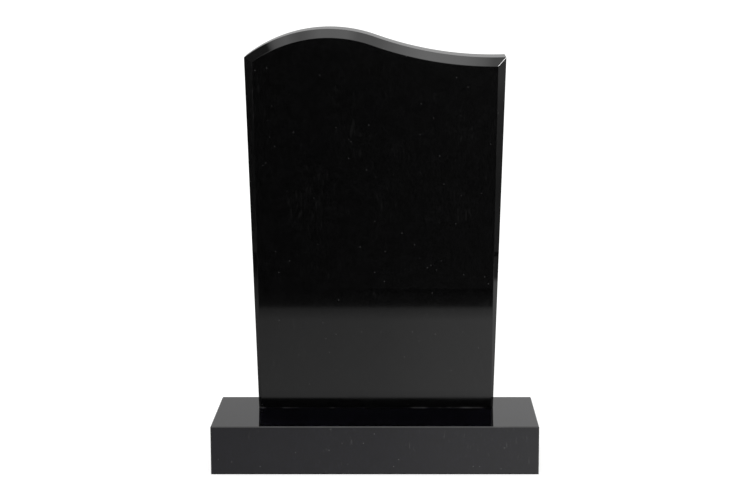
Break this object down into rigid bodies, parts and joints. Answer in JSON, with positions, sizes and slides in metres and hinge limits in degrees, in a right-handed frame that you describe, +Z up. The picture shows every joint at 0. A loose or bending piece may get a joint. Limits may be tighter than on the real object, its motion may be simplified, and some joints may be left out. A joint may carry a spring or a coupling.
{
  "type": "headstone",
  "caption": "Upright polished black granite headstone: a wave-topped, chamfered tablet, tapering to its foot, bedded on a low rectangular plinth.",
  "frame": {"origin": "centre of the plinth's underside", "axes": "+Z up, -Y towards the viewer (the front face), +X to the viewer's right; the crest of the wave is on the -X side"},
  "size_m": [0.752, 0.28, 1.0103],
  "materials": {
    "tablet_granite": "polished black granite, fine-grained",
    "plinth_granite": "polished black granite, fine-grained"
  },
  "bodies": {
    "root": {"tablet": "tablet_granite", "plinth": "plinth_granite"}
  },
  "joints": []
}
